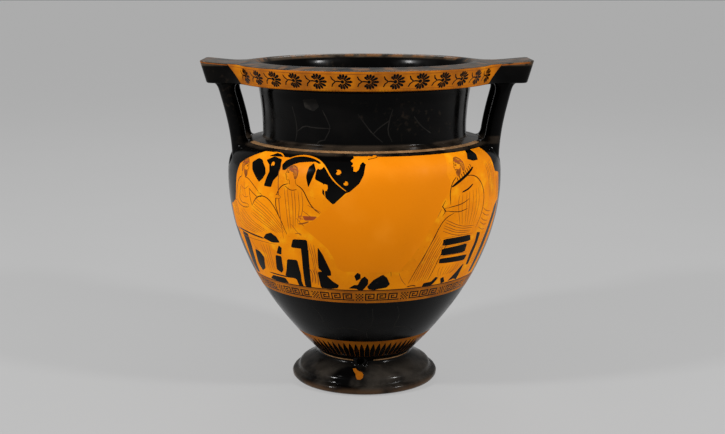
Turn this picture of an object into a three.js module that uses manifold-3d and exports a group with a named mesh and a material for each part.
// Column krater: a large mixing bowl of fired clay, thrown on the wheel in one piece with its foot.
// Two handles stand on the shoulder, each a pair of columns that carry a flat plate at the rim.
// Units are millimetres, +Z is up and the origin is the middle of the foot, on the ground.
// The handles stand along X. The drain hole is low on the front, which faces -Y.

import * as THREE from 'three';
import { mergeVertices } from 'three/addons/utils/BufferGeometryUtils.js';
import Module from 'manifold-3d';

// Foot
const footHeight = 36.5; // ground to the line where the bowl starts
const footRadius = 96.7; // widest, on the lower of its two rounded steps
const footRingThickness = 13; // height of the lower step
const footTreadWidth = 9; // level part that shows between the two steps
const footStepHeight = 12; // rounded front of the upper step
const restOuterRadius = 88; // outside of the ring that stands on the ground
const restInnerRadius = 72; // inside of that ring
const hollowHeight = 24; // top of the shallow hollow under the foot

// Bowl
const jointRadius = 60; // where the bowl grows out of the foot
const bodyRadius = 177.5; // widest
const bodyWidestHeight = 274; // height of the widest place above the ground
const bodyRise = 80; // how long the wall keeps its slope as it leaves the foot
const bodyRiseAngle = 45; // degrees, slope of the wall as it leaves the foot
const bodySwell = 98; // how long the wall stays upright below the widest place
const shoulderInset = 27.5; // widest radius in to where the shoulder turns flat
const shoulderHeight = 322; // height above the ground where it turns flat
const shoulderRise = 3.5; // climb of the flat shoulder up to the neck
const wall = 7; // thickness of the neck and the bowl
const floorThickness = 9; // clay between the bowl's floor and the hollow foot

// Neck and rim
const neckRadius = 132; // narrowest, outside
const neckFlare = 5; // how much wider the neck is under the rim
const rimHeight = 421.5; // ground to the inner edge of the rim, its highest line
const rimRadius = 166.5; // top edge of the lip
const rimFall = 3; // how far the flat top drops towards its outer edge
const lipHeight = 23.5; // height of the painted side of the lip
const lipTaper = 3; // how much narrower the lip's lower edge is
const lipUndercut = 4; // how far the lip's underside dips towards the neck
const mouthRadius = 142; // inner edge of the rim's flat top
const edgeRounding = 2; // rounding of the lip's two edges

// Handles, set on by hand, so the right one reaches further out than the left one
const plateReachLeft = 42; // lip out to the tip of the plate
const plateReachRight = 48;
const plateHalfWidth = 42; // half the width of a plate
const plateSpread = 12; // how much a plate widens on each side as it runs into the rim
const plateSpreadLength = 18; // length over which it widens
const plateCorner = 9; // rounding of a plate's outer corners, seen from above
const plateSlope = 8.5; // how far a plate's end leans out from bottom to top
const plateStep = 0.5; // how far a plate's top stands above the rim's outer edge where it leaves it
const plateLift = 4.5; // how far its tip stands above that edge
const columnDiameter = 20;
const columnSpacing = 64; // between the middles of one handle's two columns
const columnRootInsetLeft = 15; // widest radius in to the middle of a column's root
const columnRootInsetRight = 12.2;
const columnTopReachLeft = 12.5; // lip out to the middle of a column's top
const columnTopReachRight = 14;
const columnRootFlare = 1.5; // how much thicker the root is, on each side
const columnTopFlare = 7; // how much thicker the top is, on each side
const columnFlareLength = 7; // length over which the flares die away

// Drain hole
const drainDiameter = 9;
const drainCollarDiameter = 19;
const drainCollarHeight = 4.5; // how far the collar stands out of the wall
const drainOffset = -4; // place along X
const drainHeight = 39; // middle of the hole above the ground

// How finely the round forms are cut into flat faces
const turnSteps = 56; // round the axis
const columnSides = 14;
const curveSteps = 9; // along each long curve of the outside
const insideSteps = 6; // along the same curves on the inside
const arcSteps = 3; // along each short rounding
const plateSteps = 12; // along a handle plate

// Places that follow from the sizes above
const neckFootHeight = shoulderHeight + shoulderRise;
const lipTopHeight = rimHeight - rimFall;
const lipBottomHeight = lipTopHeight - lipHeight;
const lipBottomRadius = rimRadius - lipTaper;
const neckTopHeight = lipBottomHeight - lipUndercut;
const neckTopRadius = neckRadius + neckFlare;
const degree = Math.PI / 180;

const wasm = await Module();
wasm.setup();

// Outline pieces: each returns points (radius, height) from its start to its end

const at = (radius, height) => new THREE.Vector2(radius, height);

function bend(start, startPull, endPull, end, steps) {
  return new THREE.CubicBezierCurve(start, startPull, endPull, end).getPoints(steps);
}

function roundOff(start, corner, end, steps = arcSteps) {
  return new THREE.QuadraticBezierCurve(start, corner, end).getPoints(steps);
}

function bodyOutline(steps) {
  const joint = at(jointRadius, footHeight);
  const widest = at(bodyRadius, bodyWidestHeight);
  const turn = at(bodyRadius - shoulderInset, shoulderHeight);
  const risePull = at(
    jointRadius + bodyRise * Math.sin(bodyRiseAngle * degree),
    footHeight + bodyRise * Math.cos(bodyRiseAngle * degree)
  );
  const swellPull = at(bodyRadius, bodyWidestHeight - bodySwell);
  const shoulderRound = shoulderHeight - bodyWidestHeight;
  const upPull = at(bodyRadius, bodyWidestHeight + shoulderRound * 0.57);
  const inPull = at(turn.x + shoulderInset * 0.86, shoulderHeight - shoulderRound * 0.22);
  return [
    ...bend(joint, risePull, swellPull, widest, steps),
    ...bend(widest, upPull, inPull, turn, steps - arcSteps + 1).slice(1),
  ];
}

function neckOutline(steps) {
  const foot = at(neckRadius, neckFootHeight);
  const top = at(neckTopRadius, neckTopHeight);
  const height = neckTopHeight - neckFootHeight;
  const straight = at(neckRadius - 1, neckFootHeight + height * 0.4);
  const lean = at(neckTopRadius - neckFlare * 0.5, neckFootHeight + height * 0.75);
  return bend(foot, straight, lean, top, steps);
}

function footOutline() {
  const treadHeight = footRingThickness;
  const treadRadius = footRadius - footTreadWidth;
  const stepTop = at(treadRadius - 9, treadHeight + footStepHeight);
  const ringMiddle = footRingThickness * 0.55;
  return [
    at(restOuterRadius, 0),
    ...roundOff(
      at(footRadius - 2.5, ringMiddle * 0.3),
      at(footRadius, ringMiddle * 0.6),
      at(footRadius, ringMiddle), arcSteps - 1),
    ...roundOff(at(footRadius, ringMiddle + 1), at(footRadius - 0.5, treadHeight - 1),
      at(footRadius - 4.5, treadHeight - 1)),
    at(treadRadius, treadHeight),
    ...roundOff(at(treadRadius + 0.5, treadHeight + 3), at(treadRadius - 1, stepTop.y - 2), stepTop),
    at(jointRadius + 4, footHeight - 5),
  ];
}

function lipOutline() {
  const top = at(rimRadius, lipTopHeight);
  const bottom = at(lipBottomRadius, lipBottomHeight);
  const inward = at(rimRadius - edgeRounding * 1.5, lipTopHeight + rimFall * 0.15);
  return [
    at(lipBottomRadius - edgeRounding, lipBottomHeight - 0.3),
    at(bottom.x, bottom.y + edgeRounding),
    at(top.x, top.y - edgeRounding),
    at(top.x - edgeRounding * 0.4, top.y - edgeRounding * 0.3),
    inward,
    at(mouthRadius, rimHeight),
  ];
}

// The inside follows the outside at a given depth under its surface

function sunk(outline, depth) {
  return outline.map((point, index) => {
    const before = outline[Math.max(index - 1, 0)];
    const after = outline[Math.min(index + 1, outline.length - 1)];
    const along = after.clone().sub(before).normalize();
    return at(point.x - along.y * depth, point.y + along.x * depth);
  });
}

function insideOutline(depth) {
  const body = sunk(bodyOutline(insideSteps), depth);
  const start = body[0];
  const floorHeight = hollowHeight + floorThickness - (wall - depth);
  const neck = neckOutline(arcSteps).map((point) => at(point.x - depth, point.y - depth * 0.5));
  const floor = roundOff(at(0, floorHeight), at(start.x * 0.7, floorHeight), start);
  const mouthDepth = (wall - depth) * 0.5;
  const mouth = roundOff(neck[neck.length - 1], at(neckTopRadius - depth, rimHeight - mouthDepth),
    at(mouthRadius + mouthDepth, rimHeight - mouthDepth));
  return [...floor, ...body.slice(1), ...neck, ...mouth.slice(1)];
}

// Solids

function solidOf(geometry) {
  const bare = geometry.clone();
  bare.deleteAttribute('normal');
  bare.deleteAttribute('uv');
  const merged = mergeVertices(bare, 1e-4);
  const corners = merged.index.array;
  const triangles = [];
  for (let i = 0; i < corners.length; i += 3) {
    const [a, b, c] = corners.slice(i, i + 3);
    if (a !== b && b !== c && c !== a) triangles.push(a, b, c);
  }
  return new wasm.Manifold(new wasm.Mesh({
    numProp: 3,
    vertProperties: new Float32Array(merged.attributes.position.array),
    triVerts: new Uint32Array(triangles),
  }));
}

function turned(outline, steps) {
  return new THREE.LatheGeometry(outline, steps).rotateX(Math.PI / 2);
}

// The whole wall of the vase, from the hollow under the foot round to the floor of the bowl
function vaseSolid() {
  const hollow = roundOff(at(0, hollowHeight), at(jointRadius, hollowHeight),
    at(restInnerRadius, 0));
  const inside = insideOutline(wall).slice(0, -1).reverse();
  const outline = [
    ...hollow, ...footOutline(), ...bodyOutline(curveSteps), ...neckOutline(arcSteps + 1),
    ...lipOutline(), ...inside,
  ];
  return solidOf(turned(outline, turnSteps));
}

// Fills the bowl to the middle of its wall, to cut off what would reach through the wall
function coreSolid() {
  const inside = insideOutline(wall / 2);
  const lid = at(inside[inside.length - 1].x, rimHeight + plateLift + wall);
  return solidOf(turned([...inside, lid, at(0, lid.y)], turnSteps));
}

// One plate: a block divided along its length, then drawn out into the rim and rounded at its corners
function plateSolid(reach) {
  const plateTip = rimRadius + reach;
  const innerEnd = (mouthRadius + rimRadius) / 2;
  const bottom = lipBottomHeight - 0.5;
  const tipBottom = plateTip - plateSlope;
  const rimShare = (rimRadius - innerEnd) / (plateTip - innerEnd);
  const plate = new THREE.BoxGeometry(1, 2, 1, plateSteps, 2, 1).translate(0.5, 0, 0.5);
  const place = plate.attributes.position;
  for (let i = 0; i < place.count; i++) {
    const share = 1 - (1 - place.getX(i)) ** 1.7;
    const up = place.getZ(i);
    const end = THREE.MathUtils.lerp(tipBottom, plateTip, up);
    const x = THREE.MathUtils.lerp(innerEnd, end, share);
    const rise = Math.max(share - rimShare, 0) / (1 - rimShare);
    const top = lipTopHeight + plateStep + (plateLift - plateStep) * rise ** 1.2;
    const intoRim = (rimRadius + plateSpreadLength * 0.5 - x) / plateSpreadLength;
    const spread = plateSpread * Math.max(intoRim, 0) ** 2;
    const corner = Math.max(1 - (end - x) / plateCorner, 0);
    const cut = plateCorner * (1 - Math.sqrt(1 - corner * corner));
    const halfWidth = plateHalfWidth + spread - cut;
    place.setXYZ(i, x, place.getY(i) * halfWidth, THREE.MathUtils.lerp(bottom, top, up));
  }
  return solidOf(plate);
}

// One column: turned on its own axis, then leaned out from the shoulder to the plate
function columnSolid(side, rootInset, topReach) {
  const rootRadius = bodyRadius - rootInset;
  const y = side * columnSpacing / 2;
  const rootX = Math.sqrt(rootRadius ** 2 - y ** 2);
  const topX = rimRadius + topReach;
  const low = bodyWidestHeight + (shoulderHeight - bodyWidestHeight) * 0.35;
  const high = lipBottomHeight + lipHeight * 0.4;
  const rootEnd = shoulderHeight - 4;
  const fade = (distance) => Math.exp(-Math.max(distance, 0) / columnFlareLength);
  const leave = new THREE.CubicBezierCurve(
    at(rootX, low), at(rootX - 1, low + (high - low) * 0.45),
    at(topX - 5, low + (high - low) * 0.75), at(topX, high)
  );

  const spine = leave.getPoints(100);
  const radius = columnDiameter / 2;
  const ring = leave.getPoints(curveSteps)
    .map((point) => at(radius + columnRootFlare * fade(point.y - rootEnd), point.y));
  const column = turned([at(0, low), ...ring, at(0, high)], columnSides);
  const place = column.attributes.position;
  for (let i = 0; i < place.count; i++) {
    const z = place.getZ(i);
    const middle = spine.find((point) => point.y >= z - 1e-3);
    const widen = 1 + columnTopFlare / radius * fade(lipBottomHeight - z);
    place.setX(i, place.getX(i) * widen + middle.x);
    place.setY(i, place.getY(i) + y);
  }
  return solidOf(column);
}

function handleSolid(reach, rootInset, topReach) {
  const columns = [-1, 1].map((side) => columnSolid(side, rootInset, topReach));
  return plateSolid(reach).add(columns[0]).add(columns[1]);
}

// Drain: a low collar round a level hole, at the front where the bowl meets the foot
function drainPiece(diameter, fromY, toY) {
  const bar = new THREE.CylinderGeometry(diameter / 2, diameter / 2, fromY - toY, columnSides * 2);
  bar.translate(drainOffset, (fromY + toY) / 2, drainHeight);
  return solidOf(bar);
}

const rightHandle = handleSolid(plateReachRight, columnRootInsetRight, columnTopReachRight);
const leftHandle = handleSolid(plateReachLeft, columnRootInsetLeft, columnTopReachLeft);
const handles = rightHandle.add(leftHandle.rotate([0, 0, 180])).subtract(coreSolid());
const collarFace = -(jointRadius + drainCollarHeight);
const collar = drainPiece(drainCollarDiameter, wall / 2 - jointRadius, collarFace);
const bore = drainPiece(drainDiameter, -jointRadius / 2, collarFace * 2);
const krater = vaseSolid().add(handles).add(collar).subtract(bore);

// Back to a mesh, in the colour of its black gloss
function meshOf(solid, name, material) {
  const { vertProperties, triVerts } = solid.getMesh();
  const geometry = new THREE.BufferGeometry();
  geometry.setAttribute('position', new THREE.BufferAttribute(vertProperties, 3));
  geometry.setIndex(new THREE.BufferAttribute(triVerts, 1));
  const mesh = new THREE.Mesh(geometry.toNonIndexed(), material);
  mesh.geometry.computeVertexNormals();
  mesh.name = name;
  return mesh;
}

const blackGloss = new THREE.MeshStandardMaterial({ color: 0x1b1613, roughness: 0.3, metalness: 0 });

const group = new THREE.Group();
group.add(meshOf(krater, 'krater', blackGloss));

export default group;
